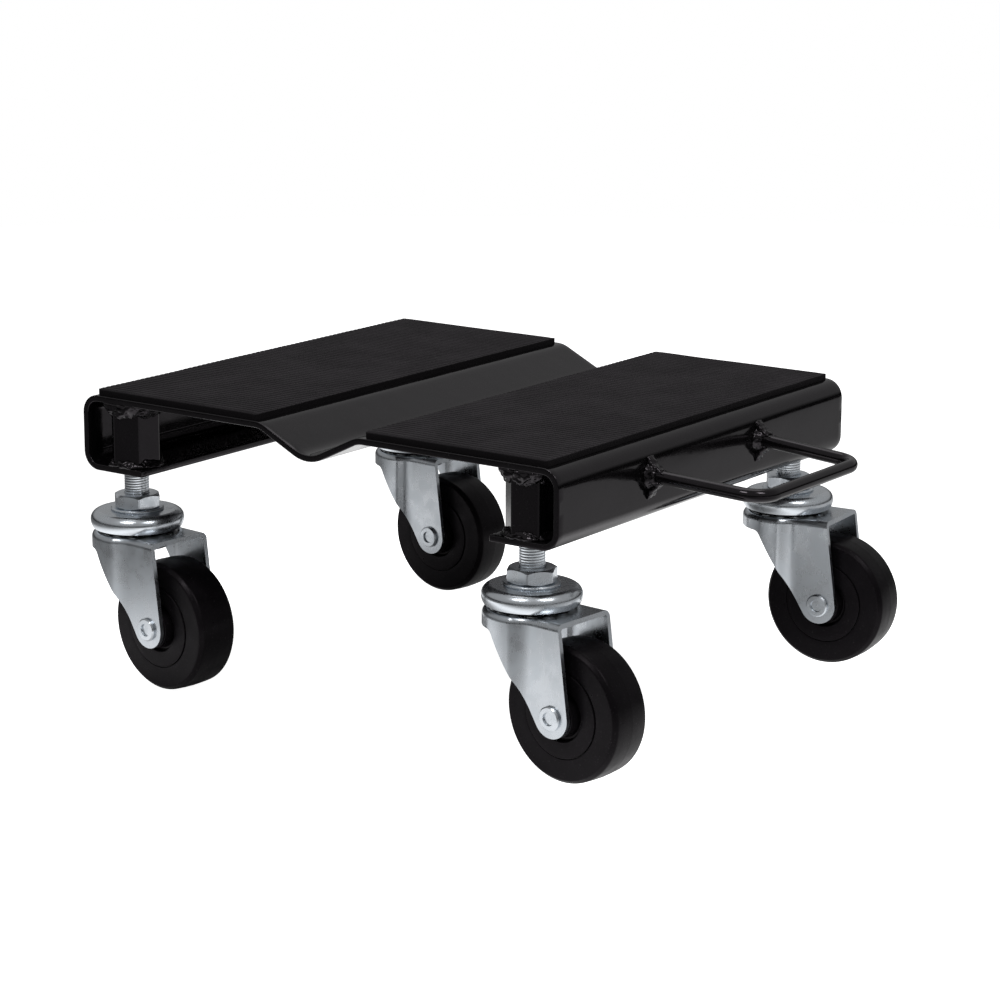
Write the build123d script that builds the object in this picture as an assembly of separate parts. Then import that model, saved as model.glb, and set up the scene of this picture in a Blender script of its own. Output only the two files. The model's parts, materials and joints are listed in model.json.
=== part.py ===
from build123d import *
import os
from math import cos, radians, sqrt, tan

# A low wheel dolly: a bent-sheet deck with a V-groove, two rubber pads, a rod tow handle
# and four swivel stem casters. Millimetres, +Z up, X across the groove, Y along it.
# Everything is modelled about the middle of the deck, on the floor. At the end it is moved
# so that the origin is the middle of the whole footprint, still on the floor.

# ---- Driving dimensions ----

# Deck: one sheet, bent along lines parallel to Y
deck_width = 280.0
deck_length = 249.0
sheet = 3.0
deck_top = 140.8
channel_height = 37.0
lip_reach = 37.0
wall_bend_radius = 9.0
groove_half_width = 28.5
groove_flank_angle = 26.0
groove_bottom_radius = 16.0
groove_shoulder_radius = 14.0

# Rubber pads on the two flats
pad_thickness = 3.1
pad_inner_x = 31.7
pad_outer_x = 132.4
pad_end_inset = 2.5
pad_corner_radius = 1.5

# Tow handle: a bent round rod, butt-welded to the +X wall
rod_radius = 3.175
handle_root_spacing = 95.0
handle_offset_y = -5.0
handle_reach = 57.0
handle_root_z = 125.5
handle_splay_angle = 4.0
handle_droop_angle = 3.5
handle_bend_radius = 11.0
handle_root_overrun = 4.0
weld_web_thickness = 5.0
weld_web_up = 10.0
weld_web_down = 11.5
weld_web_out = 9.0
weld_web_grip = 2.0
weld_web_waist_out = 3.8
weld_web_waist_up = 5.2
weld_web_waist_down = 6.3
weld_bead_length = 4.5
weld_bead_root = 3.0
weld_bead_tip = 0.5

# Caster places, and the way each caster trails, in degrees from +X
caster_x = 117.5
caster_y = 112.0
trail_angles = {"near_right": -5.5, "near_left": -6.5, "far_right": 4.5, "far_left": -5.0}
caster_sides = {"near_right": (1, -1), "near_left": (-1, -1), "far_right": (1, 1), "far_left": (-1, 1)}

# Hex posts that the stems screw into, welded between the lip and the deck
post_across_flats = 22.0
post_turn = 17.4
post_bore_radius = 6.05
post_bore_depth = 26.0
foot_weld_radius = 14.2
foot_weld_height = 3.6
head_weld_radius = 15.4
head_weld_height = 6.8
post_weld_neck_radius = 11.6

# Caster: wheel
wheel_radius = 31.75
wheel_half_width = 11.2
wheel_crown_drop = 0.45
wheel_chamfer = 1.8
wheel_disc_radius = 19.7
wheel_disc_rise = 0.45
wheel_disc_slope = 0.5
hub_radius = 9.6
hub_groove_width = 2.0
hub_groove_depth = 2.6
hub_groove_draft = 0.5
hub_edge = 0.6
hub_half_length = 15.0

# Caster: fork, a pressed sheet with a round front and two tapering legs
trail = 26.0
fork_sheet = 2.2
fork_half_width = 17.8
fork_front_radius = 22.3
fork_shoulder_x = 5.5
fork_shoulder_angle = 38.0
fork_shoulder_radius = 5.0
fork_neck_radius = 11.0
crown_top = 74.5
crown_rear = 29.5
crown_bend_radius = 3.2
skirt_bottom = 66.5
skirt_end = -6.5
skirt_corner_radius = 4.0
leg_end_radius = 9.3
crown_hole_radius = 7.6
fork_stock_overrun = 20.0
same_place = 0.01

# Caster: races and balls
upper_ball_radius = 3.175
upper_ball_pitch = 16.6
upper_ball_count = 14
lower_ball_radius = 2.0
lower_ball_pitch = 12.0
lower_ball_count = 16
track_depth = 0.6
track_clearance = 0.05
race_gap = 0.1
race_radius = 22.7
race_shoulder = 4.3
race_rim_inset = 1.2
race_bottom = 76.0
race_top = 84.3
race_wall = 2.4
race_inner_easing = 1.0
lower_race_radius = 15.0
lower_race_thickness = 1.8
lower_race_rim_height = 1.2
lower_race_rim_width = 0.9

# Caster: stem, washer, nut and rivets
thread_radius = 6.0
thread_clearance = 0.05
kingpin_radius = 5.9
stem_chamfer = 1.0
thread_lead_in = 0.3
stem_end_gap = 2.0
peened_head_radius = 8.6
peened_head_height = 2.6
peened_head_flat = 0.55
peened_head_waist = (0.9, 0.45)
washer_radius = 12.8
washer_thickness = 1.3
washer_edge = 0.4
nut_across_flats = 21.0
nut_height = 6.8
nut_chamfer_angle = 30.0
nut_chamfer_inset = 0.4
nut_turns = {"near_right": -6.0, "near_left": 17.0, "far_right": 5.0, "far_left": 8.0}
axle_radius = 3.9
axle_clearance = 0.05
rivet_head_radius = 5.6
rivet_head_thickness = 1.6
rivet_edge = 0.6
rivet_recess_radius = 3.1
rivet_recess_slope = 0.3
rivet_recess_depth = 0.9
bushing_radius = 6.3
wheel_bore_clearance = 0.06

# ---- Values worked out from them ----

deck_bottom = deck_top - channel_height
plate_underside = deck_top - sheet
lip_top = deck_bottom + sheet
wall_x = deck_width / 2
leg_inner = fork_half_width - fork_sheet
crown_bottom = crown_top - fork_sheet
washer_top = race_top + washer_thickness
nut_top = washer_top + nut_height
stem_top = lip_top + post_bore_depth - stem_end_gap
lower_race_top = crown_bottom - 2 * lower_ball_radius - race_gap
lower_race_bottom = lower_race_top - lower_race_thickness
nut_corner_radius = nut_across_flats / 2 / cos(radians(30))

parts = {}


def upright_face(lines):
    """A face in the XZ plane from lines and arcs drawn as (x, z)."""
    return make_face([edge for line in lines for edge in (Plane.XZ * line).edges()])


def turned(*lines):
    """A solid turned about Z from an outline in the XZ plane."""
    return revolve(upright_face(lines), Axis.Z)


def turned_points(points):
    """The same, from an outline of straight lines."""
    return turned(Polyline(*points, close=True))


def hex_prism(across_flats, bottom, top, turn):
    """A hexagonal bar about Z, with one flat's normal at the given turn from -Y."""
    outline = RegularPolygon(across_flats / 2, 6, major_radius=False, rotation=turn)
    return Pos(0, 0, bottom) * extrude(outline, top - bottom)


# ---- Deck ----

def make_deck():
    half = groove_half_width
    groove_depth = half * tan(radians(groove_flank_angle))
    lip_end = wall_x - lip_reach
    outline = FilletPolyline(
        (-lip_end, deck_bottom),
        (-wall_x, deck_bottom),
        (-wall_x, deck_top),
        (-half, deck_top),
        (0, deck_top - groove_depth),
        (half, deck_top),
        (wall_x, deck_top),
        (wall_x, deck_bottom),
        (lip_end, deck_bottom),
        radius=[
            wall_bend_radius,
            wall_bend_radius,
            groove_shoulder_radius,
            groove_bottom_radius,
            groove_shoulder_radius,
            wall_bend_radius,
            wall_bend_radius,
        ],
    )
    section = make_face(offset(outline, amount=sheet, side=Side.RIGHT))
    deck = extrude(Plane.XZ * section, deck_length / 2, both=True)
    hole = Cylinder(post_bore_radius, sheet + 2)
    for sx in (-1, 1):
        for sy in (-1, 1):
            deck -= Pos(sx * caster_x, sy * caster_y, deck_bottom + sheet / 2) * hole
    return deck


def make_pad(side):
    width = pad_outer_x - pad_inner_x
    length = deck_length - 2 * pad_end_inset
    middle_x = side * (pad_inner_x + pad_outer_x) / 2
    outline = RectangleRounded(width, length, pad_corner_radius)
    return Pos(middle_x, 0, deck_top) * extrude(outline, pad_thickness)


# ---- Tow handle ----

def handle_frame():
    """The handle's own frame: origin on the wall, X straight out along the drooping rod."""
    tilt = Rot(0, handle_droop_angle, 0)
    return Pos(wall_x, handle_offset_y, handle_root_z) * tilt


def make_handle():
    half_root = handle_root_spacing / 2
    splay = tan(radians(handle_splay_angle))
    half_start = half_root + handle_root_overrun * splay
    half_bar = half_root - handle_reach * splay
    path = FilletPolyline(
        (-handle_root_overrun, -half_start),
        (handle_reach, -half_bar),
        (handle_reach, half_bar),
        (-handle_root_overrun, half_start),
        radius=handle_bend_radius,
    )
    section = Plane(path @ 0, z_dir=path % 0) * Circle(rod_radius)
    rod = handle_frame() * sweep(section, path)
    outside = Pos(wall_x + deck_width / 2, 0, handle_root_z) * Box(deck_width, deck_length, deck_width)
    return rod & outside


def make_handle_welds(rod):
    """A concave web above and below each end of the rod, with a bead round the rod."""
    top = (0, weld_web_up)
    upper_waist = (weld_web_waist_out, weld_web_waist_up)
    upper_tip = (weld_web_out, weld_web_grip)
    lower_tip = (weld_web_out, -weld_web_grip)
    lower_waist = (weld_web_waist_out, -weld_web_waist_down)
    bottom = (0, -weld_web_down)
    profile = [
        Line(bottom, top),
        ThreePointArc(top, upper_waist, upper_tip),
        Line(upper_tip, lower_tip),
        ThreePointArc(lower_tip, lower_waist, bottom),
    ]
    web = extrude(upright_face(profile), weld_web_thickness / 2, both=True)
    root_radius = rod_radius + weld_bead_root
    tip_radius = rod_radius + weld_bead_tip
    on_base = (Align.CENTER, Align.CENTER, Align.MIN)
    bead = Rot(0, 90, 0) * Cone(root_radius, tip_radius, weld_bead_length, align=on_base)
    ends = []
    for side in (-1, 1):
        root_y = handle_offset_y + side * handle_root_spacing / 2
        ends.append(Pos(wall_x, root_y, handle_root_z) * (web + bead) - rod)
    return Compound(children=ends)


# ---- Posts ----

def make_post():
    post = hex_prism(post_across_flats, lip_top, plate_underside, post_turn)
    bore = Cylinder(post_bore_radius, post_bore_depth, align=(Align.CENTER, Align.CENTER, Align.MIN))
    return post - Pos(0, 0, lip_top) * bore


def weld_ring(radius, height):
    """A cone of weld metal, widest on the XY plane."""
    return Cone(radius, post_weld_neck_radius, height, align=(Align.CENTER, Align.CENTER, Align.MIN))


def make_post_welds():
    """A ring of weld at the foot and at the head of each post, ground flush with the deck's ends."""
    core = hex_prism(post_across_flats, lip_top - 1, plate_underside + 1, post_turn)
    foot = Pos(0, 0, lip_top) * weld_ring(foot_weld_radius, foot_weld_height) - core
    head = Pos(0, 0, plate_underside) * Rot(180, 0, 0) * weld_ring(head_weld_radius, head_weld_height) - core
    inside_width = deck_width - 2 * wall_bend_radius
    inside = Pos(0, 0, deck_top / 2) * Box(inside_width, deck_length, deck_top)
    rings = []
    for sx, sy in caster_sides.values():
        place = Pos(sx * caster_x, sy * caster_y, 0)
        rings.append(place * foot & inside)
        rings.append(place * head & inside)
    return Compound(children=rings)


# ---- Caster pieces, about the swivel axis, trailing along +X ----

def make_stem():
    """Thread above, kingpin below, and the peened head that holds the lower race."""
    head_bottom = lower_race_bottom - peened_head_height
    waist_width, waist_height = peened_head_waist
    return turned_points([
        (0, head_bottom),
        (peened_head_radius * peened_head_flat, head_bottom),
        (peened_head_radius * waist_width, head_bottom + peened_head_height * waist_height),
        (peened_head_radius, lower_race_bottom),
        (kingpin_radius, lower_race_bottom),
        (kingpin_radius, race_top),
        (thread_radius, race_top + thread_lead_in),
        (thread_radius, stem_top - stem_chamfer),
        (thread_radius - stem_chamfer, stem_top),
        (0, stem_top),
    ])


def make_jam_nut(turn):
    """A hexagonal nut whose corners are chamfered by a cone at both ends."""
    nut = hex_prism(nut_across_flats, washer_top, nut_top, turn)
    half = nut_height / 2
    face_radius = nut_across_flats / 2 - nut_chamfer_inset
    outside = nut_corner_radius + 1
    drop = (outside - face_radius) * tan(radians(nut_chamfer_angle))
    corner_cutter = turned_points([
        (0, -half),
        (face_radius, -half),
        (outside, -half + drop),
        (outside, half - drop),
        (face_radius, half),
        (0, half),
    ])
    nut = nut & Pos(0, 0, washer_top + half) * corner_cutter
    bore = Cylinder(thread_radius + thread_clearance, nut_height + 2)
    return nut - Pos(0, 0, washer_top + half) * bore


def make_washer():
    bore = thread_radius + thread_clearance
    return turned_points([
        (bore, race_top),
        (washer_radius - washer_edge, race_top),
        (washer_radius, race_top + washer_edge),
        (washer_radius, washer_top - washer_edge),
        (washer_radius - washer_edge, washer_top),
        (bore, washer_top),
    ])


def make_top_race():
    """A pressed cup: flat top, round shoulder, rim turned down over the balls."""
    bore = kingpin_radius + thread_clearance
    ceiling = crown_top - track_depth + 2 * upper_ball_radius + race_gap
    flat_end = race_radius - race_shoulder
    widest = race_top - race_shoulder
    rim_end = race_radius - race_rim_inset
    inside = race_radius - race_wall
    return turned(
        Line((bore, race_top), (flat_end, race_top)),
        CenterArc((flat_end, widest), race_shoulder, 0, 90),
        TangentArc((race_radius, widest), (rim_end, race_bottom), tangent=(0, -1)),
        Polyline(
            (rim_end, race_bottom),
            (inside, race_bottom),
            (inside, ceiling - race_inner_easing),
            (inside - race_inner_easing, ceiling),
            (bore, ceiling),
            (bore, race_top),
        ),
    )


def make_lower_race():
    """A flat ring with a low rim that keeps the lower balls in."""
    bore = kingpin_radius + thread_clearance
    rim_inside = lower_race_radius - lower_race_rim_width
    rim_top = lower_race_top + lower_race_rim_height
    return turned_points([
        (bore, lower_race_bottom),
        (lower_race_radius, lower_race_bottom),
        (lower_race_radius, rim_top),
        (rim_inside, rim_top),
        (rim_inside, lower_race_top),
        (bore, lower_race_top),
    ])


def make_ball_ring(radius, pitch, count, height):
    balls = [
        Rot(0, 0, 360 * index / count) * Pos(pitch, 0, height) * Sphere(radius)
        for index in range(count)
    ]
    return Compound(children=balls)


def fork_plan(rear):
    """The fork seen from above: a round front that steps in to two straight sides."""
    shoulder_y = sqrt(fork_front_radius**2 - fork_shoulder_x**2)
    neck_x = fork_shoulder_x + (shoulder_y - fork_half_width) / tan(radians(fork_shoulder_angle))
    right_side = [(fork_shoulder_x, -shoulder_y), (neck_x, -fork_half_width), (rear, -fork_half_width)]
    left_side = [(x, -y) for x, y in reversed(right_side)]
    behind_shoulder = Pos(fork_shoulder_x + fork_front_radius, 0) * Rectangle(
        2 * fork_front_radius, 3 * fork_front_radius
    )
    plan = Circle(fork_front_radius) - behind_shoulder
    plan += Polygon(*right_side, *left_side, align=None)
    shoulders = plan.vertices().filter_by(lambda v: abs(v.X - fork_shoulder_x) < same_place)
    plan = fillet(shoulders, fork_shoulder_radius)
    necks = plan.vertices().filter_by(lambda v: abs(v.X - neck_x) < same_place)
    return fillet(necks, fork_neck_radius)


def fork_side_view():
    """The fork seen from the side: a low skirt round the front, and a leg that tapers to the axle."""
    above_crown = crown_top + 1
    leg_end = Pos(trail, wheel_radius) * Circle(leg_end_radius)
    corners = Polyline(
        (skirt_end, skirt_bottom),
        (skirt_end, above_crown),
        (crown_rear, above_crown),
        (crown_rear, crown_bottom),
    )
    leg = make_hull(leg_end.edges() + corners.edges())
    skirt_depth = above_crown - skirt_bottom
    skirt_front = -fork_front_radius - 1
    skirt_length = crown_rear - skirt_front
    skirt_middle = Pos(skirt_front + skirt_length / 2, skirt_bottom + skirt_depth / 2)
    side_view = leg + skirt_middle * Rectangle(skirt_length, skirt_depth)
    corner = side_view.vertices().sort_by_distance((skirt_end, skirt_bottom))[0]
    return fillet(corner, skirt_corner_radius)


def make_fork():
    rear_of_stock = crown_rear + fork_stock_overrun
    foot = wheel_radius - 2 * leg_end_radius
    plan = fork_plan(rear_of_stock)
    hollow_plan = offset(fork_plan(rear_of_stock + fork_stock_overrun), -fork_sheet)
    shell = Pos(0, 0, foot) * extrude(plan, crown_top - foot)
    shell = fillet(shell.faces().sort_by(Axis.Z)[-1].edges(), crown_bend_radius)
    hollow = Pos(0, 0, foot) * extrude(hollow_plan, crown_bottom - foot)
    hollow = fillet(hollow.faces().sort_by(Axis.Z)[-1].edges(), crown_bend_radius - fork_sheet)
    fork = shell - hollow
    fork = fork & extrude(Plane.XZ * fork_side_view(), fork_half_width * 2, both=True)
    axle_hole = Cylinder(axle_radius + axle_clearance, fork_half_width * 3, rotation=(90, 0, 0))
    fork -= Pos(trail, 0, wheel_radius) * axle_hole
    fork -= Pos(0, 0, crown_top) * Cylinder(crown_hole_radius, fork_sheet * 3)
    track_height = crown_top - track_depth + upper_ball_radius
    track = Torus(upper_ball_pitch, upper_ball_radius + track_clearance)
    fork -= Pos(0, 0, track_height) * track
    return fork


def across_wheel(shape):
    """Turns a shape made about Z so that it lies along the wheel's axle."""
    return Pos(trail, 0, wheel_radius) * Rot(90, 0, 0) * shape


def make_bushing():
    bore = Cylinder(axle_radius + axle_clearance, 2 * leg_inner + 2)
    return across_wheel(Cylinder(bushing_radius, 2 * leg_inner) - bore)


def make_axle():
    """A tubular rivet: a round head outside each leg, each with a hollow middle."""
    outer = fork_half_width + rivet_head_thickness
    half_outline = [
        (0, 0),
        (axle_radius, 0),
        (axle_radius, fork_half_width),
        (rivet_head_radius, fork_half_width),
        (rivet_head_radius, outer - rivet_edge),
        (rivet_head_radius - rivet_edge, outer),
        (rivet_recess_radius, outer),
        (rivet_recess_radius - rivet_recess_slope, outer - rivet_recess_depth),
        (0, outer - rivet_recess_depth),
    ]
    half = turned_points(half_outline)
    return across_wheel(half + mirror(half, Plane.XY))


def make_wheel():
    """Solid moulded wheel: crowned tread, chamfered edges, raised disc and hub boss."""
    bore = bushing_radius + wheel_bore_clearance
    face = wheel_half_width
    tread_half = face - wheel_chamfer
    tread_edge = wheel_radius - wheel_crown_drop
    disc_face = face + wheel_disc_rise
    groove_floor = disc_face - hub_groove_depth
    groove_outer = hub_radius + hub_groove_width
    half_profile = Polyline(
        (tread_edge, tread_half),
        (tread_edge - wheel_chamfer, face),
        (wheel_disc_radius + wheel_disc_slope, face),
        (wheel_disc_radius, disc_face),
        (groove_outer + hub_groove_draft, disc_face),
        (groove_outer, groove_floor),
        (hub_radius + hub_groove_draft, groove_floor),
        (hub_radius, hub_half_length - hub_edge),
        (hub_radius - hub_edge, hub_half_length),
        (bore, hub_half_length),
    )
    tread = ThreePointArc((tread_edge, -tread_half), (wheel_radius, 0), (tread_edge, tread_half))
    bore_wall = Line((bore, -hub_half_length), (bore, hub_half_length))
    return across_wheel(turned(tread, bore_wall, half_profile, mirror(half_profile, Plane.XZ)))


# ---- Assembly ----

parts["deck_plate"] = make_deck()
parts["pad_left"] = make_pad(-1)
parts["pad_right"] = make_pad(1)
parts["tow_handle"] = make_handle()
parts["handle_welds"] = make_handle_welds(parts["tow_handle"])
parts["post_welds"] = make_post_welds()

upper_ball_height = crown_top - track_depth + upper_ball_radius + race_gap / 2
lower_ball_height = crown_bottom - lower_ball_radius - race_gap / 2
caster_pieces = {
    "stem": make_stem(),
    "washer": make_washer(),
    "top_race": make_top_race(),
    "lower_race": make_lower_race(),
    "fork": make_fork(),
    "upper_balls": make_ball_ring(upper_ball_radius, upper_ball_pitch, upper_ball_count, upper_ball_height),
    "lower_balls": make_ball_ring(lower_ball_radius, lower_ball_pitch, lower_ball_count, lower_ball_height),
    "axle": make_axle(),
    "bushing": make_bushing(),
    "wheel": make_wheel(),
}
post = make_post()

for caster, (sx, sy) in caster_sides.items():
    stand = Pos(sx * caster_x, sy * caster_y, 0)
    swivelled = stand * Rot(0, 0, trail_angles[caster])
    parts[f"{caster}_post"] = stand * post
    parts[f"{caster}_jam_nut"] = stand * make_jam_nut(nut_turns[caster])
    for name, piece in caster_pieces.items():
        parts[f"{caster}_{name}"] = swivelled * piece

# The origin goes to the middle of the footprint, on the floor.
footprint = Compound([solid for shape in parts.values() for solid in shape.solids()]).bounding_box()
to_origin = Pos(-footprint.center().X, -footprint.center().Y, -footprint.min.Z)

os.makedirs("parts", exist_ok=True)
for name, shape in parts.items():
    export_step(to_origin * shape, f"parts/{name}.step")
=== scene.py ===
import json
import math

import bmesh
import bpy
from mathutils import Euler, Matrix, Vector, noise


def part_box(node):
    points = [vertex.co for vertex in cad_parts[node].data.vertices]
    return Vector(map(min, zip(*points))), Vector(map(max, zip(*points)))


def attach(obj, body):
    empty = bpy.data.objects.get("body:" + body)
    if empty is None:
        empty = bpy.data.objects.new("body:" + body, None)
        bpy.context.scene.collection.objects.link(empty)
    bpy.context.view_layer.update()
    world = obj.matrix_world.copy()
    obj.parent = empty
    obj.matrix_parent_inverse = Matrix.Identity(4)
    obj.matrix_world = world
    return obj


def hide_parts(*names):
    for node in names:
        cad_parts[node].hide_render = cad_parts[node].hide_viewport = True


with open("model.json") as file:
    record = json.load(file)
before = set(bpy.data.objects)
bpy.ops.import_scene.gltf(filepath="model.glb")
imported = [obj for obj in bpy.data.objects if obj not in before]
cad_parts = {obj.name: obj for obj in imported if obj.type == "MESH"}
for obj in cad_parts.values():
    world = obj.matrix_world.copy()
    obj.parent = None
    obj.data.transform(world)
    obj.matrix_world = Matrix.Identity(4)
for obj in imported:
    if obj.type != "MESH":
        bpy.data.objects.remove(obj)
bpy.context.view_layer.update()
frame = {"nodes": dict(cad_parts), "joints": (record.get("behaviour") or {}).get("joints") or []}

MM = 0.001
SAME_PLACE = 0.001 * MM
CASTERS = ("near_right", "near_left", "far_right", "far_left")
JOINTS = {joint["name"]: joint for joint in frame["joints"]}


# ---- Camera ----

CAMERA_AZIMUTH = 35.656
CAMERA_ELEVATION = 12.51
CAMERA_ROLL = 0.19
CAMERA_PLACE = (0.80174, -1.1339, 0.4239)
CAMERA_LENS = 105.18
CAMERA_SHIFT = (0.0023, -0.0558)


def make_camera():
    data = bpy.data.cameras.new("camera")
    data.lens = CAMERA_LENS
    data.shift_x, data.shift_y = CAMERA_SHIFT
    camera = bpy.data.objects.new("camera", data)
    camera.location = CAMERA_PLACE
    tilt = math.pi / 2 - math.radians(CAMERA_ELEVATION)
    turn = Euler((tilt, 0, math.radians(CAMERA_AZIMUTH)), "XYZ").to_matrix()
    roll = Matrix.Rotation(math.radians(CAMERA_ROLL), 3, "Z")
    camera.rotation_euler = (turn @ roll).to_euler()
    bpy.context.scene.collection.objects.link(camera)
    bpy.context.scene.camera = camera


# ---- Materials ----

# Reflections off the black parts lean slightly towards violet.
BLACK_TINT = (1, 0.91, 1, 1)


class Finish:
    """A material built from noise in the piece's own space, so that it moves with the piece."""

    def __init__(self, name, **constants):
        self.material = bpy.data.materials.new(name)
        self.material.use_nodes = True
        self.tree = self.material.node_tree
        self.shader = self.tree.nodes["Principled BSDF"]
        self.space = self.tree.nodes.new("ShaderNodeTexCoord").outputs["Object"]
        for socket, value in constants.items():
            self.shader.inputs[socket.replace("_", " ")].default_value = value

    def stretched(self, stretch):
        mapping = self.tree.nodes.new("ShaderNodeMapping")
        mapping.inputs["Scale"].default_value = stretch
        self.tree.links.new(self.space, mapping.inputs["Vector"])
        return mapping.outputs["Vector"]

    def noise(self, grain, detail=3.0, stretch=(1, 1, 1)):
        """Noise whose features are about grain metres across."""
        texture = self.tree.nodes.new("ShaderNodeTexNoise")
        texture.inputs["Scale"].default_value = 1 / grain
        texture.inputs["Detail"].default_value = detail
        self.tree.links.new(self.stretched(stretch), texture.inputs["Vector"])
        return texture.outputs["Fac"]

    def cells(self, grain, stretch=(1, 1, 1)):
        """The distance to the nearest of many scattered points, about grain metres apart."""
        texture = self.tree.nodes.new("ShaderNodeTexVoronoi")
        texture.inputs["Scale"].default_value = 1 / grain
        self.tree.links.new(self.stretched(stretch), texture.inputs["Vector"])
        return texture.outputs["Distance"]

    def spread(self, value, start, end, low, high):
        """Takes value from the range start to end over to the range low to high."""
        remap = self.tree.nodes.new("ShaderNodeMapRange")
        remap.inputs["From Min"].default_value = start
        remap.inputs["From Max"].default_value = end
        remap.inputs["To Min"].default_value = low
        remap.inputs["To Max"].default_value = high
        self.tree.links.new(value, remap.inputs["Value"])
        return remap.outputs["Result"]

    def combine(self, operation, first, second):
        math_node = self.tree.nodes.new("ShaderNodeMath")
        math_node.operation = operation
        for socket, value in zip(math_node.inputs, (first, second)):
            if isinstance(value, (int, float)):
                socket.default_value = value
            else:
                self.tree.links.new(value, socket)
        return math_node.outputs["Value"]

    def blend(self, amount, first, second):
        """A colour between first and second; either may be a colour or another node's output."""
        mix = self.tree.nodes.new("ShaderNodeMix")
        mix.data_type = "RGBA"
        self.tree.links.new(amount, mix.inputs["Factor"])
        for name, value in (("A", first), ("B", second)):
            socket = next(s for s in mix.inputs if s.name == name and s.type == "RGBA")
            if isinstance(value, tuple):
                socket.default_value = (*value, 1)
            else:
                self.tree.links.new(value, socket)
        return next(s for s in mix.outputs if s.type == "RGBA")

    def color(self, value):
        self.tree.links.new(value, self.shader.inputs["Base Color"])

    def roughness(self, value):
        self.tree.links.new(value, self.shader.inputs["Roughness"])

    def relief(self, *layers):
        """Bump from (height, depth in metres) layers, one over another."""
        normal = None
        for height, depth in layers:
            bump = self.tree.nodes.new("ShaderNodeBump")
            bump.inputs["Distance"].default_value = depth
            self.tree.links.new(height, bump.inputs["Height"])
            if normal:
                self.tree.links.new(normal, bump.inputs["Normal"])
            normal = bump.outputs["Normal"]
        self.tree.links.new(normal, self.shader.inputs["Normal"])


def powder_coat(name, lump, lump_depth):
    """Gloss black powder coat: orange peel, lumps of its own size and depth, and a little dust."""
    deep = (0.0022, 0.002, 0.0023)
    faded = (0.0042, 0.0038, 0.0042)
    dusty = (0.02, 0.019, 0.02)
    coat = Finish(name, Specular_IOR_Level=0.32, Specular_Tint=BLACK_TINT)
    dust = coat.spread(coat.noise(0.9 * MM, 2), 0.66, 0.8, 0, 1)
    cloud = coat.spread(coat.noise(45 * MM), 0.35, 0.7, 0, 1)
    coat.color(coat.blend(dust, coat.blend(cloud, deep, faded), dusty))
    coat.roughness(coat.spread(coat.noise(14 * MM), 0.3, 0.7, 0.09, 0.16))
    peel = coat.noise(1.6 * MM, 1)
    peel_depth = 0.012 * MM
    coat.relief((peel, peel_depth), (coat.noise(lump), lump_depth))
    return coat.material


def ribbed_rubber():
    """Matte rubber mat: dust, darker patches, lint and a fine moulded grain, with painted shade in the
    grooves and down the cut sides.
    """
    clean = (0.0035, 0.003, 0.0035)
    worn = (0.0140, 0.0125, 0.0140)
    dusty = (0.021, 0.0193, 0.021)
    shaded = (0.003, 0.0027, 0.003)
    fluff = (0.06, 0.058, 0.058)
    rubber = Finish("pad_rubber", Specular_IOR_Level=0.2, Specular_Tint=BLACK_TINT)
    patch = rubber.spread(rubber.noise(22 * MM, 5), 0.38, 0.62, 0, 1)
    grain = rubber.spread(rubber.noise(0.7 * MM, 3), 0.35, 0.7, 0, 1)
    powdered = rubber.blend(grain, rubber.blend(patch, clean, worn), dusty)
    lint = rubber.spread(rubber.cells(5 * MM, (1, 0.4, 1)), 0.0, 0.045, 1, 0)
    linty = rubber.blend(lint, powdered, fluff)
    split = rubber.tree.nodes.new("ShaderNodeSeparateXYZ")
    rubber.tree.links.new(rubber.space, split.inputs["Vector"])
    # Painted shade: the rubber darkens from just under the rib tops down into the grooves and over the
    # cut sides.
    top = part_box("pad_left")[1].z
    depth = rubber.spread(split.outputs["Z"], top - 0.8 * MM, top - 0.15 * MM, 0, 1)
    rubber.color(rubber.blend(depth, shaded, linty))
    rubber.roughness(rubber.spread(grain, 0, 1, 0.72, 0.9))
    rubber.relief((rubber.noise(0.35 * MM, 2), 0.05 * MM), (rubber.noise(3 * MM), 0.12 * MM))
    return rubber.material


def zinc(name, tone, smooth, rough, streaks, depth):
    """Bright zinc plate: bluish mottling, soft stains and fine marks, drawn out by streaks."""
    plate = Finish(name, Metallic=1.0)
    mottle = plate.spread(plate.noise(7 * MM, 4), 0.3, 0.7, 0, 1)
    stain = plate.spread(plate.noise(16 * MM, 2), 0.45, 0.8, 0, 0.25)
    cool = tuple(tone * part for part in (0.88, 0.94, 1.0))
    warm = tuple(tone * part for part in (0.84, 0.88, 0.93))
    dull = tuple(tone * part for part in (0.64, 0.66, 0.68))
    plate.color(plate.blend(stain, plate.blend(mottle, warm, cool), dull))
    marks = plate.noise(0.5 * MM, 4, streaks)
    plate.roughness(plate.spread(plate.combine("ADD", marks, mottle), 0.6, 1.4, smooth, rough))
    plate.relief((marks, depth), (plate.noise(12 * MM, 1), 0.012 * MM))
    return plate.material


def bearing_steel():
    """Polished balls with a thin film of grease."""
    bare = (0.62, 0.62, 0.63)
    greasy = (0.42, 0.4, 0.36)
    steel = Finish("bearing_steel", Metallic=1.0)
    film = steel.spread(steel.noise(1.2 * MM, 3), 0.4, 0.65, 0, 1)
    steel.color(steel.blend(film, bare, greasy))
    steel.roughness(steel.spread(film, 0, 1, 0.06, 0.22))
    steel.relief((film, 0.01 * MM))
    return steel.material


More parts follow.
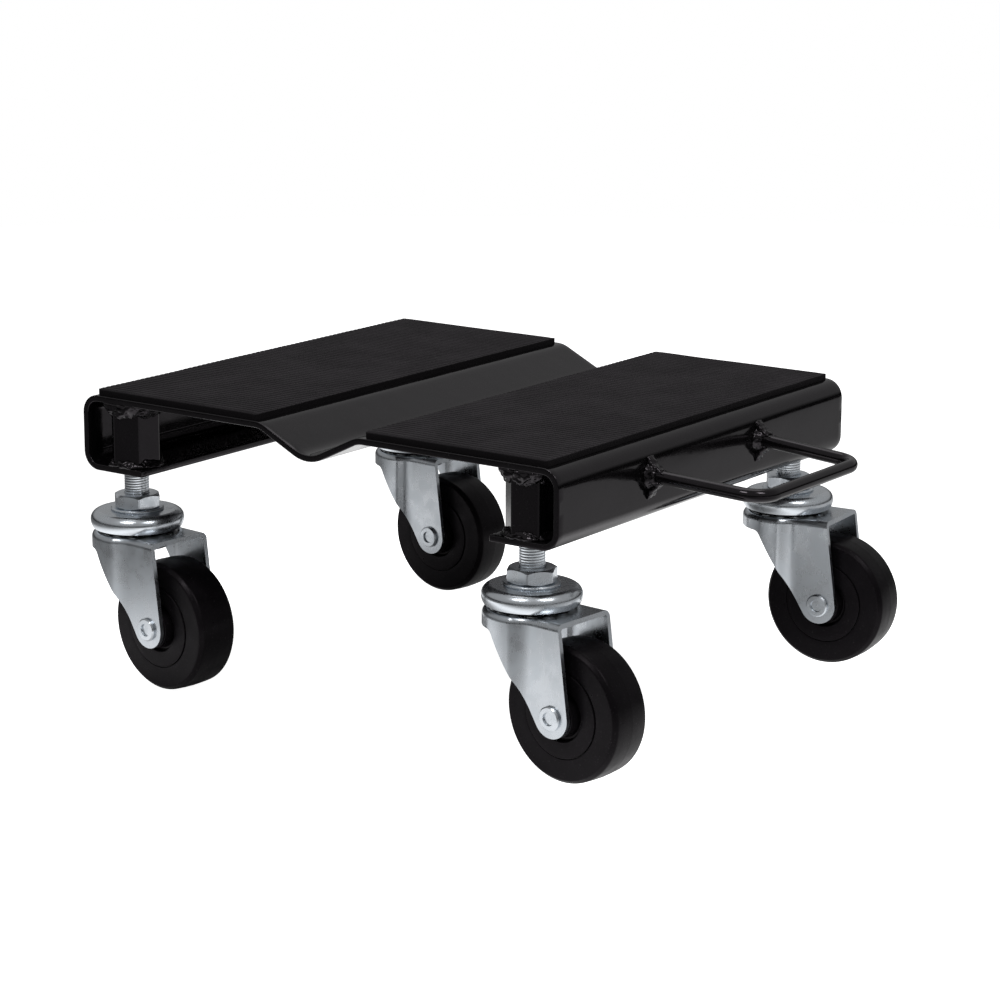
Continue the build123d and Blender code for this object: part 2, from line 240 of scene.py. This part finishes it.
def moulded_wheel():
    """Satin black polymer: fine mould texture, faint flow marks and handling dust."""
    deep = (0.0026, 0.0022, 0.0027)
    faded = (0.0052, 0.0044, 0.0053)
    dusty = (0.022, 0.021, 0.022)
    tread = Finish("wheel_tread", Specular_IOR_Level=0.08, Specular_Tint=BLACK_TINT)
    flow = tread.spread(tread.noise(18 * MM, 4), 0.35, 0.7, 0, 1)
    speck = tread.spread(tread.noise(0.8 * MM, 2), 0.64, 0.78, 0, 1)
    tread.color(tread.blend(speck, tread.blend(flow, deep, faded), dusty))
    tread.roughness(tread.spread(tread.noise(6 * MM, 4), 0.3, 0.7, 0.27, 0.4))
    tread.relief((tread.noise(0.45 * MM, 2), 0.02 * MM), (tread.noise(9 * MM), 0.12 * MM))
    return tread.material


# How far the fine marks in zinc are squeezed along X, Y and Z; a small number draws them out.
UPRIGHT_STREAKS = (1, 1, 0.12)
SHORT_STREAKS = (1, 1, 0.5)
LEVEL_STREAKS = (0.3, 0.3, 1)
NO_STREAKS = (1, 1, 1)

SHEET_COAT = powder_coat("sheet_coat", 30 * MM, 0.18 * MM)
WELD_COAT = powder_coat("weld_coat", 2.4 * MM, 0.10 * MM)
POST_COAT = powder_coat("post_coat", 9 * MM, 0.10 * MM)
ROD_COAT = powder_coat("rod_coat", 12 * MM, 0.06 * MM)
RUBBER = ribbed_rubber()
FORK_ZINC = zinc("fork_zinc", 0.58, 0.24, 0.34, UPRIGHT_STREAKS, 0.0015 * MM)
CUP_ZINC = zinc("cup_zinc", 0.72, 0.20, 0.30, NO_STREAKS, 0.001 * MM)
NUT_ZINC = zinc("nut_zinc", 0.80, 0.22, 0.36, SHORT_STREAKS, 0.003 * MM)
STEM_ZINC = zinc("stem_zinc", 0.78, 0.16, 0.30, LEVEL_STREAKS, 0.002 * MM)
RIVET_ZINC = zinc("rivet_zinc", 0.62, 0.16, 0.34, NO_STREAKS, 0.003 * MM)
STEEL = bearing_steel()
WHEEL = moulded_wheel()

NODE_FINISHES = {
    "tow_handle": ROD_COAT,
    "fork": FORK_ZINC,
    "top_race": CUP_ZINC,
    "washer": NUT_ZINC,
    "lower_race": CUP_ZINC,
    "axle": RIVET_ZINC,
    "bushing": STEM_ZINC,
    "upper_balls": STEEL,
    "lower_balls": STEEL,
}


def finish_cad_nodes():
    for name, finish in NODE_FINISHES.items():
        for node, item in frame["nodes"].items():
            if node == name or node.endswith("_" + name):
                item.data.materials.clear()
                item.data.materials.append(finish)


# ---- Shaping tools ----

def add_piece(name, shape, body, finish, replaced, sharp=35):
    """Makes shape a piece that rides on body and stands for the replaced CAD nodes.

    Edges sharper than sharp degrees are shaded as edges.
    """
    bmesh.ops.recalc_face_normals(shape, faces=shape.faces)
    mesh = bpy.data.meshes.new(name)
    shape.to_mesh(mesh)
    shape.free()
    mesh.shade_smooth()
    mesh.set_sharp_from_angle(angle=math.radians(sharp))
    mesh.materials.append(finish)
    piece = bpy.data.objects.new(name, mesh)
    bpy.context.scene.collection.objects.link(piece)
    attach(piece, body)
    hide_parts(*replaced)


def skin(rings, around=True):
    """A surface that joins each ring of points to the next; around joins the last ring to the first."""
    shape = bmesh.new()
    made = [[shape.verts.new(point) for point in ring] for ring in rings]
    pairs = list(zip(made, made[1:]))
    if around:
        pairs.append((made[-1], made[0]))
    for lower, upper in pairs:
        for index in range(len(lower)):
            beyond = (index + 1) % len(lower)
            shape.faces.new((lower[index], lower[beyond], upper[beyond], upper[index]))
    if not around:
        for ring in (set(made[0]), set(made[-1])):
            rim = [edge for edge in shape.edges if edge.is_boundary and ring.issuperset(edge.verts)]
            bmesh.ops.triangle_fill(shape, edges=rim, use_beauty=True)
    return shape


def eased(corners, steps):
    """The closed outline through corners (across, up, easing), each eased with a short curve."""
    outline = []
    for index, (across, up, easing) in enumerate(corners):
        here = Vector((across, up))
        if not easing:
            outline.append(here)
            continue
        before = Vector(corners[index - 1][:2]) - here
        after = Vector(corners[(index + 1) % len(corners)][:2]) - here
        start = here + before.normalized() * easing
        end = here + after.normalized() * easing
        for step in range(steps + 1):
            part = step / steps
            outline.append(start.lerp(here, part).lerp(here.lerp(end, part), part))
    return outline


def divided(outline, step):
    """The closed outline with points added along its long runs, about step apart."""
    points = []
    for here, after in zip(outline, outline[1:] + outline[:1]):
        pieces = max(1, round((after - here).length / step))
        for piece in range(pieces):
            points.append(here.lerp(after, piece / pieces))
    return points


def turned(outline, columns, reshape, around=True):
    """Turns an outline of (radius, height) about Z; reshape places each point by its angle."""
    rings = []
    for radius, height in outline:
        ring = []
        for column in range(columns):
            angle = 2 * math.pi * column / columns
            out, up = reshape(radius, height, angle)
            ring.append((out * math.cos(angle), out * math.sin(angle), up))
        rings.append(ring)
    return skin(rings, around)


def move(shape, matrix):
    bmesh.ops.transform(shape, matrix=matrix, verts=shape.verts)


def middle(node):
    low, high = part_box(node)
    return (low + high) / 2


def corner_angle(node):
    """Where a hexagonal node's corner points, about its own middle."""
    centre = middle(node)
    arms = [vertex.co - centre for vertex in frame["nodes"][node].data.vertices]
    longest = max(arms, key=lambda arm: arm.xy.length)
    return math.atan2(longest.y, longest.x)


# ---- Deck ----

CUT_EDGE_EASE = 0.45 * MM
EASE_STATIONS = 4
SECTION_STEP = 2.2 * MM
DECK_STATIONS = 72
CORNER_ANGLE = math.radians(50)
DENT_SPREAD_UP = 5.5 * MM
DENT_SPREAD_DOWN = 13 * MM
DENT_DEPTH = 0.1 * MM
WELD_DENT_DEPTH = 0.5 * MM
WELD_DENT_REACH = 58 * MM
WALL_BEHIND_WELDS = 4 * MM


def end_outline(node):
    """The corners of the node's section at its low-Y end, in order, as points in X and Z."""
    shape = bmesh.new()
    shape.from_mesh(frame["nodes"][node].data)
    bmesh.ops.remove_doubles(shape, verts=shape.verts, dist=SAME_PLACE)
    end = min(vertex.co.y for vertex in shape.verts) + SAME_PLACE
    neighbours = {}
    for edge in shape.edges:
        here = [vertex for vertex in edge.verts if vertex.co.y < end]
        inside = [face for face in edge.link_faces if all(v.co.y < end for v in face.verts)]
        if len(here) == 2 and len(inside) == 1:
            for vertex in here:
                neighbours.setdefault(vertex, []).append(edge.other_vert(vertex))
    start = min(neighbours, key=lambda vertex: (vertex.co.z, vertex.co.x))
    walk = [start, neighbours[start][0]]
    while walk[-1] is not start:
        first, second = neighbours[walk[-1]]
        walk.append(second if first is walk[-2] else first)
    outline = [Vector((vertex.co.x, vertex.co.z)) for vertex in walk[:-1]]
    shape.free()
    area = sum(a.x * b.y - b.x * a.y for a, b in zip(outline, outline[1:] + outline[:1]))
    return outline if area > 0 else outline[::-1]


def cut_corners(outline):
    """The outline with its square corners eased and its long runs divided."""
    corners = []
    for index, here in enumerate(outline):
        before = here - outline[index - 1]
        after = outline[(index + 1) % len(outline)] - here
        sharp = before.angle(after) > CORNER_ANGLE
        corners.append((here.x, here.y, CUT_EDGE_EASE if sharp else 0))
    return divided(eased(corners, 3), SECTION_STEP)


def inset(outline, amount):
    """The outline moved inwards by amount."""
    moved = []
    for index, here in enumerate(outline):
        along = (outline[(index + 1) % len(outline)] - outline[index - 1]).normalized()
        moved.append(here + Vector((-along.y, along.x)) * amount)
    return moved


def dent(x, y, z, wall_x, centre):
    """How far the handle's wall is drawn outwards at a point, most of all around the two welds."""
    if x < wall_x:
        return 0.0
    above = (z - centre.z) / (DENT_SPREAD_UP if z > centre.z else DENT_SPREAD_DOWN)
    along = (y - centre.y) / WELD_DENT_REACH
    depth = DENT_DEPTH + WELD_DENT_DEPTH * math.exp(-along**4)
    return depth * math.exp(-above * above)


def make_deck():
    """The bent sheet again, with its cut edges eased and one wall pulled by the handle's welds."""
    low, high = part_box("deck_plate")
    outline = cut_corners(end_outline("deck_plate"))
    stations = []
    for step in range(EASE_STATIONS):
        angle = math.pi / 2 * step / EASE_STATIONS
        stations.append((CUT_EDGE_EASE * (1 - math.cos(angle)), CUT_EDGE_EASE * (1 - math.sin(angle))))
    run = high.y - low.y - 2 * CUT_EDGE_EASE
    wall_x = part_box("handle_welds")[0].x - WALL_BEHIND_WELDS
    centre = middle("handle_welds")
    rings = []
    for reach, amount in stations:
        rings.append([(p.x, low.y + reach, p.y) for p in inset(outline, amount)])
    for station in range(DECK_STATIONS + 1):
        y = low.y + CUT_EDGE_EASE + run * station / DECK_STATIONS
        rings.append([(p.x + dent(p.x, y, p.y, wall_x, centre), y, p.y) for p in outline])
    for reach, amount in reversed(stations):
        rings.append([(p.x, high.y - reach, p.y) for p in inset(outline, amount)])
    shape = skin(rings, around=False)
    add_piece("deck_sheet", shape, "deck", SHEET_COAT, ["deck_plate"])


# ---- Pads ----

RIB_PITCH = 3.5 * MM
RIB_DEPTH = 0.8 * MM
RIB_ROWS = 8
RIB_COLUMNS = 26
RIB_WANDER = 0.15 * MM
GROOVE_HALF_WIDTH = 0.24
GROOVE_FULLNESS = 0.7
PAD_EDGE_RIBS = 0.2
PAD_EDGE_WANDER = 0.35 * MM
PAD_WANDER_GRAIN = 17 * MM
PAD_WAVE = 0.35 * MM
PAD_WAVE_STRETCH = 0.4
PAD_EDGE_ROUND = 0.5 * MM
PAD_EDGE_SINK = 0.2 * MM
PAD_CORNER_ROUND = 1.4 * MM
PAD_SEEDS = {"left": Vector((3.1, 0, 0)), "right": Vector((11.7, 0, 0))}


def groove_depth(distance):
    """How deep in a groove the top lies at a distance along the pad: 0 on a rib, 1 in a groove."""
    part = (distance / RIB_PITCH) % 1.0
    return max(0.0, 1 - abs(part - 0.5) / GROOVE_HALF_WIDTH) ** GROOVE_FULLNESS


def make_pad(side):
    """A cut piece of ribbed rubber mat, with ribs across it, knife-cut edges and a slight wave."""
    node = "pad_" + side
    low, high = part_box(node)
    length = high.y - low.y
    rows = round(length / RIB_PITCH * RIB_ROWS)

    def wander(x, y):
        return noise.noise(Vector((x, y, 0)) / PAD_WANDER_GRAIN + PAD_SEEDS[side])

    rings = []
    for row in range(rows + 1):
        y = low.y + length * row / rows
        from_end = min(y - low.y, high.y - y)
        corner = max(0.0, PAD_CORNER_ROUND - from_end)
        pull_in = PAD_CORNER_ROUND - math.sqrt(PAD_CORNER_ROUND**2 - corner**2)
        left = low.x + pull_in + PAD_EDGE_WANDER * abs(wander(low.x, y))
        right = high.x - pull_in - PAD_EDGE_WANDER * abs(wander(high.x, y))
        end_drop = PAD_EDGE_ROUND * max(0.0, 1 - from_end / PAD_EDGE_ROUND) ** 2
        ring = [(left, y, low.z), (right, y, low.z)]
        for column in range(RIB_COLUMNS + 1):
            x = right + (left - right) * column / RIB_COLUMNS
            wave = PAD_WAVE * max(0.0, wander(x * PAD_WAVE_STRETCH, y * PAD_WAVE_STRETCH))
            groove = RIB_DEPTH * groove_depth(y - low.y + RIB_WANDER * wander(x * 3, 0))
            edge = 0.0
            if column in (0, RIB_COLUMNS):
                groove *= PAD_EDGE_RIBS
                edge = PAD_EDGE_SINK
            ring.append((x, y, high.z - max(groove, end_drop) - edge - wave))
        rings.append(ring)
    for ring, end in ((rings[0], low.y), (rings[-1], high.y)):
        for index, (x, y, z) in enumerate(ring):
            ring[index] = (x, end, min(z, high.z - PAD_EDGE_ROUND))
    add_piece(node + "_mat", skin(rings, around=False), "deck", RUBBER, [node])


# ---- Posts, nuts and stems ----

HEX_COLUMNS = 96
HEX_CORNER_WEAR = 0.25 * MM
BORE_RADIUS = 6.05 * MM
BORE_CHAMFER = 0.45 * MM
NUT_ACROSS_FLATS = 21 * MM
NUT_FACE_RADIUS = 10.0 * MM
NUT_CORNER_SLOPE = 0.6
POST_ACROSS_FLATS = 22 * MM
POST_FACE_RADIUS = 10.8 * MM
POST_CORNER_SLOPE = 0.5
SHANK_RADIUS = 5.9 * MM
THREAD_RADIUS = 5.97 * MM
THREAD_PITCH = 1.25 * MM
THREAD_DEPTH = 0.08 * MM
THREAD_COLUMNS = 40
THREAD_ROWS = 8
THREAD_GAP = 0.6 * MM
THREAD_FULLNESS = 1.25
THREAD_FLANK = 3.4
THREAD_LEAD_IN = 1.0 * MM
STEM_END_RADIUS = 4.77 * MM
STEM_AXIS = 0.01 * MM
PEENED_RADIUS = 8.6 * MM
PEENED_PROFILE = ((0.55, 0), (0.8, 0.2), (0.95, 0.55), (1.0, 0.85), (0.97, 1.0))


def hexagonal(across_flats, low, high, face_radius, slope, turn):
    """A hexagonal ring whose corners are turned down to face_radius at both ends."""
    half = across_flats / 2
    sixth = math.pi / 3

    def reshape(radius, height, angle):
        if radius < face_radius + SAME_PLACE:
            return radius, height
        flat = half / math.cos((angle - turn) % sixth - sixth / 2)
        out = min(flat, half / math.cos(sixth / 2) - HEX_CORNER_WEAR)
        fall = (out - face_radius) * slope
        return out, height - fall if height > (low + high) / 2 else height + fall

    # reshape brings the outermost points in to the flats.
    mouth = BORE_RADIUS + BORE_CHAMFER
    outline = [
        (BORE_RADIUS, low + BORE_CHAMFER), (mouth, low), (face_radius, low), (half * 2, low),
        (half * 2, high), (face_radius, high), (mouth, high), (BORE_RADIUS, high - BORE_CHAMFER),
    ]
    return turned(outline, HEX_COLUMNS, reshape)


def make_nut(caster):
    node = caster + "_jam_nut"
    low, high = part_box(node)
    centre = middle(node)
    shape = hexagonal(
        NUT_ACROSS_FLATS, low.z, high.z, NUT_FACE_RADIUS, NUT_CORNER_SLOPE, corner_angle(node)
    )
    move(shape, Matrix.Translation((centre.x, centre.y, 0)))
    add_piece(caster + "_lock_nut", shape, "deck", NUT_ZINC, [node], sharp=25)


def make_post(caster):
    node = caster + "_post"
    low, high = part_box(node)
    centre = middle(node)
    shape = hexagonal(
        POST_ACROSS_FLATS, low.z, high.z, POST_FACE_RADIUS, POST_CORNER_SLOPE, corner_angle(node)
    )
    move(shape, Matrix.Translation((centre.x, centre.y, 0)))
    add_piece(caster + "_hex_post", shape, "deck", POST_COAT, [node], sharp=25)


def make_stem(caster):
    """A cut thread above the cup, and the plain kingpin with its peened head below."""
    node = caster + "_stem"
    low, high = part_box(node)
    centre = middle(node)
    cup_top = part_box(caster + "_top_race")[1].z
    race_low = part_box(caster + "_lower_race")[0].z
    thread_start = cup_top + THREAD_GAP
    head_height = race_low - low.z

    outline = [(STEM_AXIS, low.z)]
    for out, up in PEENED_PROFILE:
        outline.append((PEENED_RADIUS * out, low.z + head_height * up))
    outline.append((SHANK_RADIUS, race_low))
    outline.append((SHANK_RADIUS, cup_top))
    rows = round((high.z - thread_start) / THREAD_PITCH * THREAD_ROWS)
    for row in range(rows + 1):
        outline.append((THREAD_RADIUS, thread_start + (high.z - thread_start) * row / rows))
    outline.append((STEM_END_RADIUS, high.z))
    outline.append((STEM_AXIS, high.z))

    def reshape(out, height, angle):
        if height < thread_start or out < THREAD_RADIUS:
            return out, height
        part = (height / THREAD_PITCH - angle / (2 * math.pi)) % 1.0
        groove = min(1.0, max(0.0, THREAD_FULLNESS - abs(part - 0.5) * THREAD_FLANK))
        run_out = min(1.0, (height - thread_start) / THREAD_PITCH)
        lead_in = max(0.0, height - high.z + THREAD_LEAD_IN)
        return out - max(groove * run_out * THREAD_DEPTH, lead_in), height

    shape = turned(outline, THREAD_COLUMNS, reshape, around=False)
    move(shape, Matrix.Translation((centre.x, centre.y, 0)))
    add_piece(caster + "_threaded_stem", shape, "deck", STEM_ZINC, [node], sharp=40)


# ---- Welds ----

WELD_VOXEL = 0.55 * MM
WELD_SMOOTHING = 2
FINE_LUMPS = 2.3
LUMP_BIAS = 0.35


def lumpy_copy(node, name, grain, swell):
    """The node's solids run together into weld metal with lumps of about grain, up to swell high."""
    source = bpy.data.objects.new("weld_source", frame["nodes"][node].data.copy())
    bpy.context.scene.collection.objects.link(source)
    remesh = source.modifiers.new("remesh", "REMESH")
    remesh.mode = "VOXEL"
    remesh.voxel_size = WELD_VOXEL
    evaluated = source.evaluated_get(bpy.context.evaluated_depsgraph_get())
    shape = bmesh.new()
    shape.from_mesh(evaluated.to_mesh())
    evaluated.to_mesh_clear()
    bpy.data.objects.remove(source)
    for _ in range(WELD_SMOOTHING):
        bmesh.ops.smooth_vert(
            shape, verts=shape.verts, factor=0.5, use_axis_x=True, use_axis_y=True, use_axis_z=True
        )
    shape.normal_update()
    moved = []
    for vertex in shape.verts:
        lump = noise.noise(vertex.co / grain) + 0.5 * noise.noise(vertex.co / grain * FINE_LUMPS)
        moved.append(vertex.co + vertex.normal * (swell * (LUMP_BIAS + lump)))
    for vertex, place in zip(shape.verts, moved):
        vertex.co = place
    add_piece(name, shape, "deck", WELD_COAT, [node], sharp=180)


# ---- Wheels ----

WHEEL_COLUMNS = 180
WHEEL_SECTION_STEP = 2.2 * MM
WHEEL_RADIUS = 31.75 * MM
WHEEL_FACE = 11.2 * MM
WHEEL_CHAMFER = 1.8 * MM
DISC_RADIUS = 19.65 * MM
DISC_STEP = 0.45 * MM
RING_GROOVE_DEPTH = 0.5 * MM
HUB_FACE = 15.0 * MM
HUB_RADIUS = 9.6 * MM
HUB_BORE = 6.4 * MM
HUB_POCKET_DEPTH = 2.1 * MM
MOULD_LINE_WIDTH = 0.35 * MM
MOULD_LINE_RISE = 0.04 * MM


def wheel_outline():
    """Half of the wheel's section, as (radius, height, easing) from the tread's middle to the bore."""
    groove_floor = WHEEL_FACE - RING_GROOVE_DEPTH
    disc_face = WHEEL_FACE + DISC_STEP
    pocket_floor = WHEEL_FACE - HUB_POCKET_DEPTH
    tread = [
        (WHEEL_RADIUS, 0, 0),
        (31.67 * MM, 4 * MM, 0),
        (31.46 * MM, 7.5 * MM, 0),
        (31.3 * MM, WHEEL_FACE - WHEEL_CHAMFER, 0.6 * MM),
    ]
    face = [
        (29.6 * MM, WHEEL_FACE + 0.05 * MM, 0.4 * MM),
        (27.8 * MM, WHEEL_FACE, 0),
        (20.2 * MM, WHEEL_FACE, 0.1 * MM),
        (20.0 * MM, groove_floor, 0),
        (19.8 * MM, groove_floor, 0),
        (DISC_RADIUS, disc_face, 0.2 * MM),
        (12.1 * MM, disc_face, 0.4 * MM),
    ]
    hub = [
        (11.6 * MM, pocket_floor, 0.6 * MM),
        (10.0 * MM, pocket_floor, 0.5 * MM),
        (HUB_RADIUS, HUB_FACE, 0.5 * MM),
        (HUB_BORE, HUB_FACE, 0),
    ]
    return tread + face + hub


def mould_line(radius, height, _angle):
    """Raises the thin parting line around the middle of the tread."""
    if radius < WHEEL_RADIUS - SAME_PLACE:
        return radius, height
    return radius + MOULD_LINE_RISE * max(0.0, 1 - abs(height) / MOULD_LINE_WIDTH), height


def make_wheel(caster):
    """A moulded wheel with a stepped face, a hub and a parting line."""
    joint = JOINTS[caster + "_wheel_spin"]
    half = wheel_outline()
    other_half = [(radius, -height, easing) for radius, height, easing in reversed(half[1:])]
    # Both rings beside the parting line come before its middle ring, which leaves a tiny fold there.
    beside = [Vector((WHEEL_RADIUS, side * MOULD_LINE_WIDTH)) for side in (-1, 1)]
    outline = beside + divided(eased(half + other_half, 4), WHEEL_SECTION_STEP)
    shape = turned(outline, WHEEL_COLUMNS, mould_line)
    turn = Vector(joint["axis"]).to_track_quat("Z", "Y").to_matrix().to_4x4()
    move(shape, Matrix.Translation(joint["pos_m"]) @ turn)
    add_piece(
        caster + "_moulded_wheel", shape, caster + "_rolling_wheel", WHEEL,
        [caster + "_wheel"], sharp=30,
    )


# ---- Stage ----

AIM_HEIGHT = 0.09
FLOOR_RADIUS = 1.6
POOL_MIDDLE = (-0.05, -0.02, 0)
POOL_RISE = (0.12, 0.20)
POOL_FALL = (0.22, 0.36)
POOL_GLOW = 0.85
FLOOR_GLOW = 0.97
BACKWARD = (0.58, 0.81, 0)
BACKWARD_REACH = (-0.2, 0.4)
FRONT_SHADE_GREY = (0.22, 0.22, 0.22)
BACK_GREY = (0.75, 0.75, 0.75)
PAPER_GREYS = ((0.78, 0.78, 0.78), (0.8, 0.8, 0.8))
SKY_TONE = 0.38
HORIZON_TONE = 0.01


def area_light(name, azimuth, elevation, distance, width, power):
    """A soft square lamp seen from the object at that azimuth and elevation, facing it."""
    around = math.radians(azimuth)
    rise = math.radians(elevation)
    direction = Vector((
        math.sin(around) * math.cos(rise), -math.cos(around) * math.cos(rise), math.sin(rise)
    ))
    data = bpy.data.lights.new(name, "AREA")
    data.shape = "RECTANGLE"
    data.size = width
    data.size_y = width
    data.energy = power
    lamp = bpy.data.objects.new(name, data)
    lamp.location = Vector((0, 0, AIM_HEIGHT)) + direction * distance
    lamp.rotation_euler = direction.to_track_quat("Z", "Y").to_euler()
    bpy.context.scene.collection.objects.link(lamp)


def make_floor():
    """Pale paper that glows in a ring around POOL_MIDDLE, a painted pool of light for the object to
    reflect.

    Past the ring it is painted dark in front as shade and pale behind, but seen directly it is white all
    over.
    """
    bpy.ops.mesh.primitive_circle_add(vertices=96, radius=FLOOR_RADIUS, fill_type="NGON")
    floor = bpy.context.object
    floor.name = "floor"
    paper = Finish("floor_paper", Roughness=0.9, Specular_IOR_Level=0.1)
    away = paper.tree.nodes.new("ShaderNodeVectorMath")
    away.operation = "DISTANCE"
    away.inputs[1].default_value = POOL_MIDDLE
    paper.tree.links.new(paper.space, away.inputs[0])
    distance = away.outputs["Value"]
    # The glow starts only away from POOL_MIDDLE: the unglowing middle under the object is a painted
    # shadow for it to reflect.
    rise = paper.spread(distance, *POOL_RISE, 0, 1)
    fall = paper.spread(distance, *POOL_FALL, 1, 0)
    fibre = paper.blend(paper.noise(30 * MM), *PAPER_GREYS)
    behind = paper.tree.nodes.new("ShaderNodeVectorMath")
    behind.operation = "DOT_PRODUCT"
    behind.inputs[1].default_value = BACKWARD
    paper.tree.links.new(paper.space, behind.inputs[0])
    backward = paper.spread(behind.outputs["Value"], *BACKWARD_REACH, 0, 1)
    # Painted shade: outside the ring the paper is darker in front, for the object to reflect.
    outside = paper.blend(backward, FRONT_SHADE_GREY, BACK_GREY)
    paper.color(paper.blend(fall, outside, fibre))
    path = paper.tree.nodes.new("ShaderNodeLightPath")
    paleness = paper.spread(fall, 0, 1, 1.0, FLOOR_GLOW)
    seen = paper.combine("MULTIPLY", path.outputs["Is Camera Ray"], paleness)
    pool = paper.combine("MULTIPLY", paper.combine("MULTIPLY", rise, fall), POOL_GLOW)
    paper.shader.inputs["Emission Color"].default_value = (1, 1, 1, 1)
    paper.tree.links.new(paper.combine("ADD", seen, pool), paper.shader.inputs["Emission Strength"])
    floor.data.materials.append(paper.material)


def make_world():
    """White where it is seen directly; otherwise a dim studio that is lighter overhead."""
    world = bpy.data.worlds.new("world")
    world.use_nodes = True
    nodes = world.node_tree.nodes
    links = world.node_tree.links
    studio = nodes["Background"]
    backdrop = nodes.new("ShaderNodeBackground")
    backdrop.inputs["Color"].default_value = (1, 1, 1, 1)
    direction = nodes.new("ShaderNodeTexCoord").outputs["Generated"]
    split = nodes.new("ShaderNodeSeparateXYZ")
    ramp = nodes.new("ShaderNodeValToRGB")
    horizon, overhead = ramp.color_ramp.elements
    horizon.position = 0.06
    horizon.color = (HORIZON_TONE, HORIZON_TONE, HORIZON_TONE, 1)
    overhead.position = 0.22
    overhead.color = (SKY_TONE, SKY_TONE, SKY_TONE, 1)
    links.new(direction, split.inputs["Vector"])
    links.new(split.outputs["Z"], ramp.inputs["Fac"])
    links.new(ramp.outputs["Color"], studio.inputs["Color"])
    path = nodes.new("ShaderNodeLightPath")
    mix = nodes.new("ShaderNodeMixShader")
    links.new(path.outputs["Is Camera Ray"], mix.inputs["Fac"])
    links.new(studio.outputs["Background"], mix.inputs[1])
    links.new(backdrop.outputs["Background"], mix.inputs[2])
    links.new(mix.outputs["Shader"], nodes["World Output"].inputs["Surface"])
    bpy.context.scene.world = world


def make_stage():
    make_floor()
    make_world()
    area_light("left_lamp", azimuth=0, elevation=52, distance=1.6, width=0.45, power=5)
    area_light("right_lamp", azimuth=75, elevation=52, distance=1.6, width=0.45, power=5)
    area_light("top_lamp", azimuth=215, elevation=70, distance=1.8, width=1.2, power=6)
    bpy.context.scene.view_settings.view_transform = "Standard"


finish_cad_nodes()
make_deck()
make_pad("left")
make_pad("right")
lumpy_copy("post_welds", "post_weld_metal", grain=2.8 * MM, swell=0.8 * MM)
lumpy_copy("handle_welds", "handle_weld_metal", grain=2.4 * MM, swell=0.65 * MM)
for caster_name in CASTERS:
    make_post(caster_name)
    make_nut(caster_name)
    make_stem(caster_name)
    make_wheel(caster_name)
make_camera()
make_stage()
